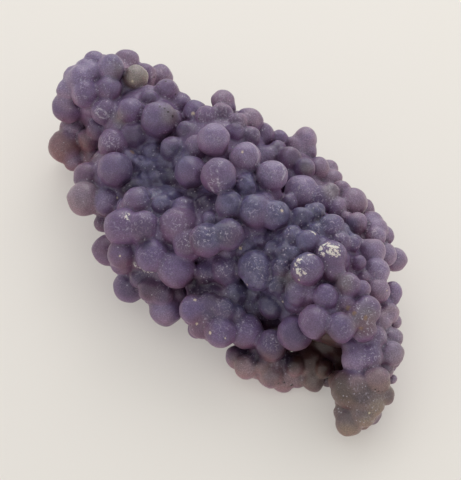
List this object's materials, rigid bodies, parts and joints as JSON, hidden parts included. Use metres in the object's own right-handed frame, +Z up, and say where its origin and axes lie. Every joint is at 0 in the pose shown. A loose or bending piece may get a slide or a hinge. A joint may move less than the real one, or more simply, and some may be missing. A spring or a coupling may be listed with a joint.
{
  "type": "botryoidal chalcedony specimen",
  "caption": "Purple cluster of round grape-like chalcedony balls grown into one lump, cut flat underneath so that it rests on a shelf.",
  "frame": {"origin": "centre of the cluster's bounding box, on the surface that it rests on", "axes": "+X along the length from the knob-like head to the tapered tip, +Z up"},
  "size_m": [0.0867, 0.0451, 0.0286],
  "materials": {
    "chalcedony": "satin"
  },
  "bodies": {
    "root": {"chalcedony_cluster": "chalcedony"}
  },
  "joints": []
}
